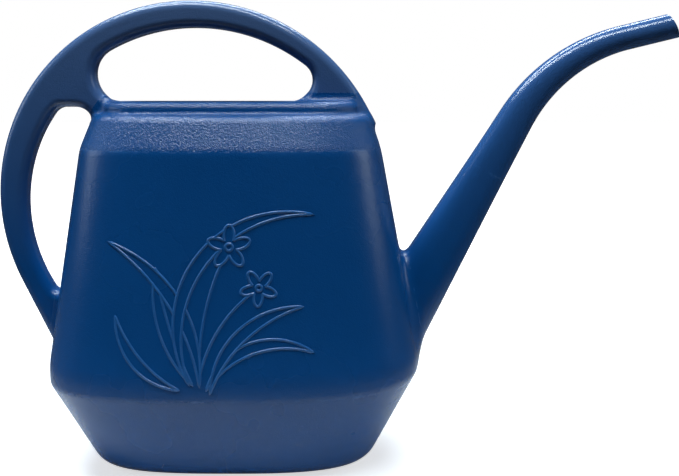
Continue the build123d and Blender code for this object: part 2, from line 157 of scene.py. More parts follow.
def skin(field, low, high, pitch):
    """Quads over the surface of a field inside a box, on one lattice for the whole can."""
    stride = 4  # the field is first tried at every fourth point, to find the blocks near the skin
    reach_of_block = 0.75 * math.sqrt(3)
    block = stride * pitch
    low = np.floor(np.array(low) / block) * block
    blocks = np.ceil((np.array(high) - low) / block).astype(int)
    count = blocks * stride + 1
    axes = [low[i] + pitch * np.arange(count[i]) for i in range(3)]
    rough_at = np.meshgrid(*[a[::stride] for a in axes], indexing="ij")
    rough = field(*[a.ravel() for a in rough_at]).reshape(rough_at[0].shape)
    nearest = np.full(blocks, np.inf)
    for i, j, k in np.ndindex(2, 2, 2):
        corner = rough[i : i + blocks[0], j : j + blocks[1], k : k + blocks[2]]
        nearest = np.minimum(nearest, np.abs(corner))
    close = nearest < block * reach_of_block
    wanted = np.zeros(count, bool)
    for i, j, k in np.ndindex(stride + 1, stride + 1, stride + 1):
        ends = [o + stride * (b - 1) + 1 for o, b in zip((i, j, k), blocks)]
        wanted[i : ends[0] : stride, j : ends[1] : stride, k : ends[2] : stride] |= close
    value = rough
    for axis in range(3):
        value = np.repeat(value, stride, axis)
    value = value[: count[0], : count[1], : count[2]].copy()
    at = np.nonzero(wanted)
    value[at] = field(*[axes[i][at[i]] for i in range(3)])

    filled = value < 0
    spans = (slice(0, -1), slice(1, None))
    corners = [filled[spans[i], spans[j], spans[k]] for i, j, k in np.ndindex(2, 2, 2)]
    some, every = corners[0].copy(), corners[0].copy()
    for corner in corners[1:]:
        some |= corner
        every &= corner
    cell = np.stack(np.nonzero(some & ~every), 1)
    number = np.full(count - 1, -1)
    number[tuple(cell.T)] = np.arange(len(cell))
    total, crossings = np.zeros((len(cell), 3)), np.zeros(len(cell))
    for axis in range(3):
        others = [a for a in range(3) if a != axis]
        for first, second in np.ndindex(2, 2):
            start = np.zeros(3, int)
            start[others[0]], start[others[1]] = first, second
            end = start.copy()
            end[axis] = 1
            v0, v1 = value[tuple((cell + start).T)], value[tuple((cell + end).T)]
            crossed = (v0 < 0) != (v1 < 0)
            share = np.where(crossed, v0 / np.where(crossed, v0 - v1, 1), 0)
            spot = cell + start + share[:, None] * (end - start)
            total += spot * crossed[:, None]
            crossings += crossed
    points = low + pitch * total / crossings[:, None]

    quads = []
    for axis in range(3):
        one, two = (axis + 1) % 3, (axis + 2) % 3
        near = [slice(None)] * 3
        far = [slice(None)] * 3
        near[axis], far[axis] = slice(None, -1), slice(1, None)
        a, b = filled[tuple(near)], filled[tuple(far)]
        edge = np.stack(np.nonzero(a != b), 1)
        keep = (edge[:, one] > 0) & (edge[:, two] > 0)
        keep &= (edge[:, one] < count[one] - 1) & (edge[:, two] < count[two] - 1)
        edge = edge[keep]
        outward = a[tuple(edge.T)]
        ring = []
        for back_one, back_two in ((1, 1), (0, 1), (0, 0), (1, 0)):
            around = edge.copy()
            around[:, one] -= back_one
            around[:, two] -= back_two
            ring.append(number[tuple(around.T)])
        ring = np.stack(ring, 1)
        ring[~outward] = ring[~outward][:, ::-1]
        quads.append(ring)
    quads = np.concatenate(quads)

    points = pull_onto(field, points, 3)
    for _ in range(3):  # evens out the net along the skin, where four or more quads meet
        around, share = np.zeros_like(points), np.zeros(len(points))
        for side in range(4):
            u, v = quads[:, side], quads[:, (side + 1) % 4]
            for a, b in ((u, v), (v, u)):
                for axis in range(3):
                    around[:, axis] += np.bincount(a, points[b, axis], len(points))
                share += np.bincount(a, minlength=len(points))
        _, slope = slope_of(field, points)
        slope /= np.linalg.norm(slope, axis=1)[:, None] + 1e-9
        shift = around / np.maximum(share, 1)[:, None] - points
        shift -= (shift * slope).sum(1)[:, None] * slope
        shift[share < 8] *= 0
        points = pull_onto(field, points + 0.5 * shift, 1)
    return pull_onto(field, points, 1), quads


def cut(bm, through, facing, wanted=lambda face: True):
    """Cuts a shell with a plane, drops what lies in front of it and closes the wall's cut edge."""
    snap, on_plane = 2e-5, 6e-5
    origin, normal = Vector(through) * mm, Vector(facing).normalized()
    faces = [f for f in bm.faces if wanted(f)]
    edges = {e for f in faces for e in f.edges}
    verts = {v for f in faces for v in f.verts}
    bmesh.ops.bisect_plane(
        bm, geom=[*faces, *edges, *verts], dist=snap, plane_co=origin, plane_no=normal
    )
    gone = [f for f in bm.faces if wanted(f) and (f.calc_center_median() - origin).dot(normal) > 0]
    bmesh.ops.delete(bm, geom=gone, context="FACES")
    rim = [e for e in bm.edges if e.is_boundary]
    for end in range(2):
        rim = [e for e in rim if abs((e.verts[end].co - origin).dot(normal)) < on_plane]
    made = bmesh.ops.triangle_fill(bm, edges=rim, use_beauty=True, normal=normal)
    for face in made["geom"]:
        if isinstance(face, bmesh.types.BMFace) and face.normal.dot(normal) < 0:
            face.normal_flip()


def moulded(name, field, low, high, cuts):
    """One region of the moulding as a closed shell: outer skin, inner skin and cut rims."""

    def inner_field(x, y, z):
        return field(x, y, z) + wall_thickness

    outer, outer_quads = skin(field, low, high, lattice_pitch)
    inner, inner_quads = skin(inner_field, low, high, 2 * lattice_pitch)
    points = np.concatenate([outer, inner]) * mm
    quads = np.concatenate([outer_quads, inner_quads[:, ::-1] + len(outer)])
    mesh = bpy.data.meshes.new(name)
    mesh.from_pydata(points.tolist(), [], quads.tolist())
    bm = bmesh.new()
    bm.from_mesh(mesh)
    for plane in cuts:
        cut(bm, *plane)
    stray = [v for v in bm.verts if not v.link_faces]
    bmesh.ops.delete(bm, geom=stray, context="VERTS")
    bm.to_mesh(mesh)
    bm.free()
    return shaded(name, mesh, field)


def shaded(name, mesh, field):
    """Gives a shell the skin's own normals, so that facets never show, and makes it an object."""
    near_outer, near_inner, alike = 0.35, 0.6, 0.6
    count = len(mesh.polygons)
    centre, normal = np.zeros(count * 3), np.zeros(count * 3)
    mesh.polygons.foreach_get("center", centre)
    mesh.polygons.foreach_get("normal", normal)
    centre, normal = centre.reshape(-1, 3) / mm, normal.reshape(-1, 3)
    value, slope = slope_of(field, centre)
    slope /= np.linalg.norm(slope, axis=1)[:, None] + 1e-9
    lean = (normal * slope).sum(1)
    outside = (np.abs(value) < near_outer) & (lean > alike)
    inside = (np.abs(value + wall_thickness) < near_inner) & (lean < -alike)
    spots = np.zeros(len(mesh.vertices) * 3)
    mesh.vertices.foreach_get("co", spots)
    _, at_vertex = slope_of(field, spots.reshape(-1, 3) / mm)
    at_vertex /= np.linalg.norm(at_vertex, axis=1)[:, None] + 1e-9
    corner_vertex = np.zeros(len(mesh.loops), np.int32)
    mesh.loops.foreach_get("vertex_index", corner_vertex)
    sizes = np.zeros(count, np.int32)
    mesh.polygons.foreach_get("loop_total", sizes)
    face_of = np.repeat(np.arange(count), sizes)
    normals = normal[face_of]
    normals[outside[face_of]] = at_vertex[corner_vertex][outside[face_of]]
    normals[inside[face_of]] = -at_vertex[corner_vertex][inside[face_of]]
    mesh.polygons.foreach_set("use_smooth", np.ones(count, bool))
    mesh.normals_split_custom_set(normals.tolist())
    made = bpy.data.objects.new(name, mesh)
    bpy.context.scene.collection.objects.link(made)
    return made


# The plastic: satin navy with a fine stipple from the mould, faintly uneven in tint and sheen,
# paler on sharp edges (partly rubbed wear, partly painted highlight), painted paler higher up as
# painted light haze, and with the mould's parting line along the can's middle plane.
grain_scale, knobble_scale, ripple_scale, rub_scale, cloud_scale = 1400, 620, 28, 120, 14
line_half_width, line_fade = 0.15 * mm, 0.5 * mm
# Heights over which the painted light haze on the higher parts fades in.
painted_light_foot, painted_light_top = 0.12, 0.29
navy, lighter_navy = (0.0012, 0.060, 0.222, 1), (0.0018, 0.070, 0.25, 1)
# Pale blues: one for rubbed edges and painted highlight, one for the painted light haze up high.
rubbed_and_highlight_blue, painted_haze_blue = (0.05, 0.2, 0.5, 1), (0.3, 0.36, 0.45, 1)
cloud_low, cloud_high = 0.15, 0.85
# How much the edge mask pales the colour, as rubbed wear and painted highlight, and roughens it.
wear_and_highlight_paler, wear_duller = 0.35, 0.1
sheen_spread = 0.04
bump_depth = 0.00012


def effect_group(name, inputs, outputs):
    """A shader node group with named inputs and outputs, and its two end nodes."""
    group = bpy.data.node_groups.new(name, "ShaderNodeTree")
    for label, kind, value in inputs:
        socket = group.interface.new_socket(label, in_out="INPUT", socket_type=kind)
        socket.default_value = value
    for label, kind in outputs:
        group.interface.new_socket(label, in_out="OUTPUT", socket_type=kind)
    return group, group.nodes.new("NodeGroupInput"), group.nodes.new("NodeGroupOutput")


def shader_node(tree, kind, settings=(), values=()):
    """A node with its settings and the constants on its sockets."""
    node = tree.nodes.new(kind)
    for key, value in dict(settings).items():
        setattr(node, key, value)
    for key, value in dict(values).items():
        node.inputs[key].default_value = value
    return node


def noise(tree, place, scale, detail=2.0, roughness=0.5):
    """Noise in object space at a scale per metre."""
    values = {"Scale": scale, "Detail": detail, "Roughness": roughness}
    node = shader_node(tree, "ShaderNodeTexNoise", (), values)
    tree.links.new(place, node.inputs["Vector"])
    return node.outputs["Fac"]


def map_range(tree, value, from_low, from_high, to_low, to_high):
    """A value carried from one range to another, and kept inside it."""
    values = {"From Min": from_low, "From Max": from_high, "To Min": to_low, "To Max": to_high}
    node = shader_node(tree, "ShaderNodeMapRange", {"clamp": True}, values)
    tree.links.new(value, node.inputs["Value"])
    return node.outputs["Result"]


def calculate(tree, operation, first, second):
    """One sum on two values, each a socket or a number."""
    node = shader_node(tree, "ShaderNodeMath", {"operation": operation})
    for socket, value in zip(node.inputs, (first, second)):
        if isinstance(value, (int, float)):
            socket.default_value = value
        else:
            tree.links.new(value, socket)
    return node.outputs["Value"]


def moulded_surface():
    """Height of the stipple and parting line; masks for edge wear with painted highlight, cloud
    and rise.
    """
    inputs = [("Stipple", "NodeSocketFloat", 0.5), ("Seam", "NodeSocketFloat", 1.0)]
    outputs = [(label, "NodeSocketFloat") for label in ("Height", "Wear and highlight", "Cloud", "Rise")]
    group, given, result = effect_group("moulded surface", inputs, outputs)
    place = group.nodes.new("ShaderNodeTexCoord").outputs["Object"]
    geometry = group.nodes.new("ShaderNodeNewGeometry")
    fine = map_range(group, noise(group, place, grain_scale, 1.5, 0.6), 0.3, 0.75, 0, 1)
    broad = map_range(group, noise(group, place, knobble_scale, 1.0), 0.3, 0.7, 0, 1)
    ripple = noise(group, place, ripple_scale, 1.0)
    apart = shader_node(group, "ShaderNodeSeparateXYZ")
    group.links.new(place, apart.inputs[0])
    off_middle = calculate(group, "ABSOLUTE", apart.outputs["Y"], 0)
    seam = map_range(group, off_middle, line_half_width, line_fade, 1, 0)
    grain = calculate(group, "ADD", fine, calculate(group, "MULTIPLY", broad, 0.5))
    grain = calculate(group, "MULTIPLY", grain, given.outputs["Stipple"])
    high = calculate(group, "ADD", grain, calculate(group, "MULTIPLY", ripple, 0.9))
    high = calculate(group, "ADD", high, calculate(group, "MULTIPLY", seam, given.outputs["Seam"]))
    group.links.new(high, result.inputs["Height"])
    # Edge mask: sharp convex edges where the rub noise allows, partly rubbed wear, partly painted
    # highlight.
    sharp = map_range(group, geometry.outputs["Pointiness"], 0.515, 0.6, 0, 1)
    rubbed_and_highlit = map_range(group, noise(group, place, rub_scale, 4.0, 0.7), 0.45, 0.65, 0, 1)
    group.links.new(calculate(group, "MULTIPLY", sharp, rubbed_and_highlit), result.inputs["Wear and highlight"])
    # Rise grows with height; it places the painted light haze on the higher parts.
    rise = map_range(group, apart.outputs["Z"], painted_light_foot, painted_light_top, 0, 1)
    group.links.new(rise, result.inputs["Rise"])
    cloud = noise(group, place, cloud_scale, 3.0, 0.55)
    group.links.new(cloud, result.inputs["Cloud"])
    return group


surface_effect = moulded_surface()


def plastic(name, stipple, sheen, painted_haze=0.0, painted_highlight=0.0):
    """The can's plastic: stipple, sheen, painted light haze up high, paler edges (wear, painted
    highlight).
    """
    material = bpy.data.materials.new(name)
    material.use_nodes = True
    tree = material.node_tree
    shader = tree.nodes["Principled BSDF"]
    effect = shader_node(tree, "ShaderNodeGroup", {"node_tree": surface_effect})
    effect.inputs["Stipple"].default_value = stipple
    cloud, edge_wear_and_highlight = effect.outputs["Cloud"], effect.outputs["Wear and highlight"]
    tint = shader_node(tree, "ShaderNodeMix", {"data_type": "RGBA"})
    tint.inputs["A"].default_value = navy
    tint.inputs["B"].default_value = lighter_navy
    tree.links.new(map_range(tree, cloud, cloud_low, cloud_high, 0, 1), tint.inputs["Factor"])
    # Paler towards the rubbed blue on sharp edges, and by a fixed share all over: wear and painted
    # highlight.
    rubbed_and_highlit = shader_node(tree, "ShaderNodeMix", {"data_type": "RGBA"})
    rubbed_and_highlit.inputs["B"].default_value = rubbed_and_highlight_blue
    tree.links.new(tint.outputs["Result"], rubbed_and_highlit.inputs["A"])
    wear_and_highlight_share = calculate(tree, "ADD", calculate(tree, "MULTIPLY", edge_wear_and_highlight, wear_and_highlight_paler), painted_highlight)
    tree.links.new(wear_and_highlight_share, rubbed_and_highlit.inputs["Factor"])
    # Painted light haze: the colour turns towards a chalky pale blue the higher the surface
    # stands.
    painted_haze_mix = shader_node(tree, "ShaderNodeMix", {"data_type": "RGBA"})
    painted_haze_mix.inputs["B"].default_value = painted_haze_blue
    tree.links.new(rubbed_and_highlit.outputs["Result"], painted_haze_mix.inputs["A"])
    painted_haze_share = calculate(tree, "MULTIPLY", effect.outputs["Rise"], painted_haze)
    tree.links.new(painted_haze_share, painted_haze_mix.inputs["Factor"])
    tree.links.new(painted_haze_mix.outputs["Result"], shader.inputs["Base Color"])
    dullest = sheen + sheen_spread
    rough = map_range(tree, cloud, cloud_low, cloud_high, sheen - sheen_spread, dullest)
    rough = calculate(tree, "ADD", rough, calculate(tree, "MULTIPLY", edge_wear_and_highlight, wear_duller))
    tree.links.new(rough, shader.inputs["Roughness"])
    bump = shader_node(tree, "ShaderNodeBump", (), {"Strength": 1.0, "Distance": bump_depth})
    tree.links.new(effect.outputs["Height"], bump.inputs["Height"])
    tree.links.new(bump.outputs["Normal"], shader.inputs["Normal"])
    shader.inputs["IOR"].default_value = 1.5
    return material


polyethylene = plastic("moulded polyethylene", 0.4, 0.27)

base = moulded(
    "tank_base",
    tank_field,
    (-125, -77, -6),
    (125, 77, girth_z + 12),
    [((0, 0, girth_z), (0, 0, 1))],
)
base.data.materials.append(polyethylene)
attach(base, "root")
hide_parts("base_pan")

# ---------------------------------------------------------------------------
# Wall of the tank, from the girth up to the crease under the shoulder. The roots of the
# spout and of the rear grip run out of it with fillets, since mould and skin are one.
# ---------------------------------------------------------------------------
handle_z = deck_z - 53.6
handle_x = -24.8
handle_reach = 121.58
handle_half = 8.5
handle_round = 5.5
roof, roof_reach = (handle_x + 2.0, handle_z - 4.4), 110.0
hand_ends = ((118.7, 17.0, 225.0), (52.5, 11.0, -45.0))  # angle, radius, angle of the foot
slot_middle, slot_reach = (-31.1, handle_z - 4.5), 99.1
slot_sides = (-86.9, handle_z - 57.4, deck_z + 4.3)  # front, bottom, top
slot_round, slot_foot_round = 10.0, 5.0
tail_foot = (-112.3, handle_z - 100.9)
toe, heel = (87.1, deck_z - 6.0), (75.1, crease_z)
spout_root = (94.1, 73.1)
spout_rise, spout_tip_rise = math.radians(60.5), math.radians(13.6)
bend_corner, bend_reach = (196.2, 253.7), 102.0
cone_length = 126.0
spout_height = (41.6, 25.8, 15.4)  # across the cone at its root, at its end and at the tip
spout_width = (34.0, 22.0, 15.4)
spout_thinning = 1.3
cone_squareness = 0.7  # more than an ellipse's power of 2
spout_start = -8  # the cone reaches this far back into the tank
mouth_angle = math.radians(29.0)
tip_length = 29.7
collar = (-1.0, 77.5, 27.5, 22.0)  # middle, half length, half width, corner
collar_edge_round = 5.0
collar_sink = 14
collar_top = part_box("fill_collar")[1].z / mm
hand_floor = collar_top - 3.9
collar_fillet, handle_fillet, spout_fillet = 3.0, 4.0, 8.0


def collar_field(x, y, z):
    """Distance from the raised collar."""
    plan = rounded_plate(x, y, *collar)
    block = round_edge(plan, z - collar_top, 0 * x, collar_edge_round)
    return np.maximum(block, deck_z - collar_sink - z)


def arc_end(x, z, middle, reach, foot_angle):
    """Distance from a round end that runs off into a straight foot."""
    foot = math.radians(foot_angle)
    turn = 1 if foot_angle > 90 else -1
    along = -turn * math.sin(foot) * (x - middle[0]) + turn * math.cos(foot) * (z - middle[1])
    straight = (x - middle[0]) * math.cos(foot) + (z - middle[1]) * math.sin(foot)
    return np.where(along > 0, straight, np.hypot(x - middle[0], z - middle[1])) - reach


def hand_distance(x, z):
    """Distance from the opening for the hand: a curved roof, two round ends and sloping feet."""
    lowest_bearing = -60
    bearing = np.degrees(np.arctan2(z - roof[1], x - roof[0]))
    opening = np.hypot(x - roof[0], z - roof[1]) - roof_reach
    for side, (angle, reach, foot_angle) in zip((1, -1), hand_ends):
        out, turn = roof_reach - reach, math.radians(angle)
        at = (roof[0] + out * math.cos(turn), roof[1] + out * math.sin(turn))
        end = arc_end(x, z, at, reach, foot_angle)
        beyond = (side * (bearing - angle) > 0) & (bearing > lowest_bearing)
        opening = np.where(beyond, end, opening)
    return np.maximum(opening, hand_floor - z)


def slot_distance(x, z):
    """Distance from the finger slot: an arc behind and a straight side in front."""
    front, bottom, top = slot_sides
    steepest = 0.95
    away = np.hypot(x - slot_middle[0], z - slot_middle[1])
    tilt = np.clip((z - slot_middle[1]) / np.maximum(away, 1), -steepest, steepest)
    slot = round_edge(away - slot_reach, z - top, tilt, slot_round)
    slot = round_edge(slot, x - front, 0 * x, slot_round)
    return round_edge(slot, bottom - z, -tilt, slot_foot_round)


def handle_field(x, y, z):
    """Distance from the handle: one round blade with a hand opening and a finger slot."""
    away = np.hypot(x - handle_x, z - handle_z)
    foot = (tail_foot[0] - handle_x, tail_foot[1] - handle_z)
    bearing = math.atan2(foot[1], foot[0]) % (2 * math.pi)
    tail = bearing - math.acos(min(handle_reach / math.hypot(*foot), 1))
    past = np.cos(tail) * (z - handle_z) - np.sin(tail) * (x - handle_x) > 0
    straight = np.cos(tail) * (x - handle_x) + np.sin(tail) * (z - handle_z) - handle_reach
    rim = np.where(past & (x < handle_x), straight, away - handle_reach)
    heel_length = math.hypot(toe[0] - heel[0], toe[1] - heel[1])
    under = ((x - toe[0]) * (toe[1] - heel[1]) - (z - toe[1]) * (toe[0] - heel[0])) / heel_length
    rim = np.maximum(rim, np.where(x > 0, under, tail_foot[1] - z))
    side = np.maximum(rim, -np.minimum(hand_distance(x, z), slot_distance(x, z)))
    return round_edge(side, np.abs(y) - handle_half, 0 * x, handle_round)


def along_spout(x, z):
    """Travel along the spout's middle line and height over it: a line, one bend, a line."""
    rise = (math.cos(spout_rise), math.sin(spout_rise))
    fall = (math.cos(spout_tip_rise), math.sin(spout_tip_rise))
    run = bend_reach * math.tan((spout_rise - spout_tip_rise) / 2)
    start = (bend_corner[0] - run * rise[0], bend_corner[1] - run * rise[1])
    middle = (start[0] + bend_reach * rise[1], start[1] - bend_reach * rise[0])
    end = (bend_corner[0] + run * fall[0], bend_corner[1] + run * fall[1])
    straight = math.hypot(start[0] - spout_root[0], start[1] - spout_root[1])
    bent = bend_reach * (spout_rise - spout_tip_rise)
    turn = np.arctan2(z - middle[1], x - middle[0]) % (2 * math.pi)
    first, last = turn > spout_rise + math.pi / 2, turn < spout_tip_rise + math.pi / 2
    travel = straight + bend_reach * (spout_rise + math.pi / 2 - turn)
    height = np.hypot(x - middle[0], z - middle[1]) - bend_reach
    travel = np.where(first, (x - spout_root[0]) * rise[0] + (z - spout_root[1]) * rise[1], travel)
    height = np.where(first, (z - start[1]) * rise[0] - (x - start[0]) * rise[1], height)
    over = (x - end[0]) * fall[0] + (z - end[1]) * fall[1]
    travel = np.where(last, straight + bent + over, travel)
    height = np.where(last, (z - end[1]) * fall[0] - (x - end[0]) * fall[1], height)
    mouth = (end[0] + tip_length * fall[0], end[1] + tip_length * fall[1])
    return travel, height, straight + bent, mouth


def spout_field(x, y, z):
    """Distance from the spout: a soft-cornered cone that thins through the bend to a round tip."""
    travel, height, whole, _ = along_spout(x, z)
    cone = travel / cone_length
    thinning = np.clip((whole - travel) / (whole - cone_length), 0, 1) ** spout_thinning
    halves = []
    for root, neck, tip in (spout_height, spout_width):
        in_cone = root + cone * (neck - root)
        halves.append(np.where(travel < cone_length, in_cone, tip + thinning * (neck - tip)) / 2)
    power = 2 + cone_squareness * np.where(travel < cone_length, 1, thinning)
    up, across = np.abs(height) / halves[0], np.abs(y) / halves[1]
    reach = np.maximum((up**power + across**power) ** (1 / power), 1e-6)
    to_up = (up / reach) ** (power - 1) / halves[0]
    to_across = (across / reach) ** (power - 1) / halves[1]
    around = (reach - 1) / (np.hypot(to_up, to_across) + 1e-9)
    return np.maximum(around, spout_start - travel)


def can_field(x, y, z):
    """Distance from the whole moulding, with a fillet wherever one part runs into another."""
    can = blended_min(tank_field(x, y, z), collar_field(x, y, z), collar_fillet)
    can = blended_min(can, handle_field(x, y, z), handle_fillet)
    return blended_min(can, spout_field(x, y, z), spout_fillet)


drawn_in = [wall_swell * (g - s) for g, s in zip(girth_half, shoulder_half)]
lean_front = math.atan(drawn_in[0] / (crease_z - bevel_rise[0]))
lean_rear = math.atan(drawn_in[1] / (crease_z - bevel_rise[1]))
root_clear = 7  # the spout's root and the grip's tail are cut off this far outside the wall
root_x, tail_x = girth_half[0] + root_clear, -girth_half[1] - root_clear
root_plane = ((root_x, 0, girth_z), (math.cos(lean_front), 0, math.sin(lean_front)))
tail_plane = ((tail_x, 0, girth_z), (-math.cos(lean_rear), 0, math.sin(lean_rear)))


def flipped(plane):
    """The same cut, kept from the other side."""
    return (plane[0], tuple(-v for v in plane[1]))


tank_walls = moulded(
    "tank_walls",
    can_field,
    (-140, -77, girth_z - 12),
    (140, 77, crease_z + 12),
    [((0, 0, girth_z), (0, 0, -1)), ((0, 0, crease_z), (0, 0, 1)), root_plane, tail_plane],
)
tank_walls.data.materials.append(polyethylene)
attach(tank_walls, "root")
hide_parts("tank_wall")

# ---------------------------------------------------------------------------
# Shoulder and deck, with the raised collar. The fill opening is routed through the collar's
# top after moulding, which leaves a crisp edge that shows the thickness of the wall.
# ---------------------------------------------------------------------------
opening_middle, opening_half_length, opening_half_width = -17.0, 49.0, 19.0
opening_points = 64
opening_low, opening_high = crease_z + 3, collar_top + 9
web_plane = ((-95, 0, 209.7), (-0.788, 0, 0.616))  # where the handle's rear web springs
leg_plane = ((0, 0, collar_top + 5.3), (0, 0, 1))  # where its front leg does
handle_side = -70 * mm


def at_rear(face):
    """True for faces on the rear web's side of the hand opening."""
    return face.calc_center_median().x <= handle_side


def at_front(face):
    """True for faces on the front leg's side of it."""
    return face.calc_center_median().x > handle_side


shoulder = moulded(
    "shoulder_and_collar",
    can_field,
    (-112, -58, crease_z - 12),
    (104, 58, collar_top + 18),
    [((0, 0, crease_z), (0, 0, -1)), (*web_plane, at_rear), (*leg_plane, at_front)],
)
outline = []
for step in range(opening_points):
    turn = 2 * math.pi * (step + 0.5) / opening_points
    end = opening_half_length - opening_half_width
    x = opening_middle + math.copysign(end, math.cos(turn)) + opening_half_width * math.cos(turn)
    outline.append((x * mm, opening_half_width * math.sin(turn) * mm))
plug_mesh = bpy.data.meshes.new("plug")
plug_points = [(x, y, z * mm) for z in (opening_low, opening_high) for x, y in outline]
lower_ring = list(range(opening_points))
upper_ring = [i + opening_points for i in lower_ring]
plug_faces = [tuple(lower_ring[::-1]), tuple(upper_ring)]
for i in lower_ring:
    after = (i + 1) % opening_points
    plug_faces.append((i, after, upper_ring[after], upper_ring[i]))
plug_mesh.from_pydata(plug_points, [], plug_faces)
plug = bpy.data.objects.new("plug", plug_mesh)
bpy.context.scene.collection.objects.link(plug)
routing = shoulder.modifiers.new("routing", "BOOLEAN")
routing.operation, routing.solver, routing.object = "DIFFERENCE", "EXACT", plug
bpy.context.view_layer.update()
graph = bpy.context.evaluated_depsgraph_get()
routed = bpy.data.meshes.new_from_object(shoulder.evaluated_get(graph))
bpy.data.objects.remove(plug)
bpy.data.objects.remove(shoulder)
shoulder = shaded("shoulder_and_collar", routed, can_field)
shoulder.data.materials.clear()
shoulder.data.materials.append(plastic("stippled polyethylene", 1.4, 0.24))
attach(shoulder, "root")
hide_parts("shoulder_deck", "fill_collar")

# ---------------------------------------------------------------------------
# Carrying handle: the arch over the collar, hollow like the rest, blown through from the tank.
# Its edges are rounded for the hand, and its front foot stands on the deck's front corner.
# ---------------------------------------------------------------------------
split_angle = math.radians(155)
split_plane = ((handle_x, 0, handle_z), (math.sin(split_angle), 0, -math.cos(split_angle)))
carry_handle = moulded(
    "handle_arch",
    can_field,
    (-152, -12, 190),
    (104, 12, 292),
    [(*flipped(web_plane), at_rear), (*flipped(leg_plane), at_front), flipped(split_plane)],
)
# The handle is painted paler towards its top, as painted light haze.
handle_plastic = plastic("polyethylene with painted haze", 0.45, 0.2, painted_haze=0.25)
carry_handle.data.materials.append(handle_plastic)
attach(carry_handle, "root")
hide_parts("carry_handle")

# ---------------------------------------------------------------------------
# Rear grip: the handle's circle carried on down behind the tank, with the finger slot between.
# Its tail runs into the rear wall just above the girth.
# ---------------------------------------------------------------------------
rear_grip = moulded(
    "grip_behind",
    can_field,
    (-152, -12, 50),
    (-98, 12, 236),
    [split_plane, flipped(tail_plane)],
)
rear_grip.data.materials.append(handle_plastic)
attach(rear_grip, "root")
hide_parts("rear_grip")

# ---------------------------------------------------------------------------
# Spout: a hollow cone that rises out of the front wall, then a swan neck that thins to a round
# tip. The mouth is trimmed aslant with a knife after moulding, so its lip is square.
# ---------------------------------------------------------------------------
neck_x = spout_root[0] + cone_length * math.cos(spout_rise)
neck_z = spout_root[1] + cone_length * math.sin(spout_rise)
neck_plane = ((neck_x, 0, neck_z), (math.cos(spout_rise), 0, math.sin(spout_rise)))
spout_cone = moulded(
    "cone_of_spout",
    can_field,
    (100, -26, 60),
    (182, 26, 206),
    [flipped(root_plane), neck_plane],
)
# The spout is painted a little paler higher up, as painted light haze.
spout_plastic = plastic("spout polyethylene", 0.3, 0.19, painted_haze=0.12)
spout_cone.data.materials.append(spout_plastic)
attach(spout_cone, "root")
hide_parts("spout_cone")

mouth_at = along_spout(np.zeros(1), np.zeros(1))[3]
mouth_plane = ((mouth_at[0], 0, mouth_at[1]), (math.cos(mouth_angle), 0, math.sin(mouth_angle)))
spout_neck = moulded(
    "neck_of_spout",
    spout_field,
    (138, -18, 168),
    (286, 18, 292),
    [flipped(neck_plane), mouth_plane],
)
spout_neck.data.materials.append(spout_plastic)
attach(spout_neck, "root")
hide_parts("spout_neck", "spout_mouth")

# ---------------------------------------------------------------------------
# Relief on both long walls: arching leaves and two blossoms on stems, drawn in raised outlines
# that were cut into the mould. A line stops where it would pass under a leaf or a petal.
# ---------------------------------------------------------------------------
bead_radius, bead_proud = 0.95, 0.6
leaves = (  # root and tip along X and Z, sideways bow, widest width
    ((-21.0, 66.0), (50.0, 162.0), 36.0, 7.5),
    ((-15.0, 65.0), (-68.0, 146.0), -14.0, 7.5),
    ((-27.0, 63.0), (-64.0, 104.0), 8.0, 6.5),
    ((-19.0, 66.0), (-40.0, 132.0), 6.0, 6.5),
    ((-9.0, 61.0), (44.0, 110.0), 12.0, 7.0),
    ((-11.0, 63.0), (50.0, 84.0), 14.0, 6.5),
)
stem_root = (-15.0, 70.0)
blossoms = (  # middle along X and Z, length of a petal, turn in degrees, sideways bow of the stem
    ((2.0, 144.0), 12.5, 18.0, 5.0),
    ((19.0, 121.0), 10.5, 50.0, 6.0),
)
petal_count, petal_share, eye_share = 5, 0.24, 0.16
line_points, petal_points, eye_points = 70, 28, 20
bead_sides = 12


def bowed(root, tip, bow):
    """Points along a circular arc from root to tip that swings aside by bow."""
    root, tip = np.array(root), np.array(tip)
    chord = tip - root
    length = np.hypot(*chord)
    aside = np.array((-chord[1], chord[0])) / length
    radius = (length**2 / 4 + bow**2) / (2 * abs(bow))
    half = math.asin(min(length / 2 / radius, 1))
    turn = np.linspace(-half, half, line_points)
    along = length / 2 + radius * np.sin(turn)
    rise = (radius * np.cos(turn) - (radius - abs(bow))) * np.sign(bow)
    return root + np.outer(along / length, chord) + np.outer(rise, aside)


def leaf_rim(root, tip, bow, width):
    """The closed outline of a leaf: up one side and down the other."""
    left = bowed(root, tip, bow + width / 2)
    right = bowed(root, tip, bow - width / 2)
    return np.concatenate([left, right[-2:0:-1]])


def on_wall(points, side, proud):
    """Carries points given by X and Z straight across onto one long wall."""
    x, z = points[:, 0], points[:, 1]
    first_guess, turns = 62.0, 8
    y = np.full(len(x), first_guess * side)
    for _ in range(turns):
        spot = np.stack([x, y, z], 1)
        value, slope = slope_of(tank_field, spot)
        y = y - value / slope[:, 1]
    spot = np.stack([x, y, z], 1)
    slope = slope_of(tank_field, spot)[1]
    return spot + proud * slope / np.linalg.norm(slope, axis=1)[:, None]


def inside_any(x, z, rims):
    """True for points that lie inside one of several closed outlines."""
    found = np.zeros(len(x), bool)
    for rim in rims:
        ends = np.roll(rim, -1, 0)
        inside = np.zeros(len(x), bool)
        for (x0, z0), (x1, z1) in zip(rim, ends):
            spans = (z0 > z) != (z1 > z)
            inside ^= spans & (x < (x1 - x0) * (z - z0) / ((z1 - z0) or 1e-9) + x0)
        found |= inside
    return found


def broken(rim, hidden_by, closed=True):
    """The edges of an outline, without the ones that lie inside other outlines."""
    ends = np.roll(rim, -1, 0) if closed else rim[1:]
    starts = rim if closed else rim[:-1]
    middle = (starts + ends) / 2
    shown = ~inside_any(middle[:, 0], middle[:, 1], hidden_by)
    return [(i, (i + 1) % len(rim)) for i in np.nonzero(shown)[0]]


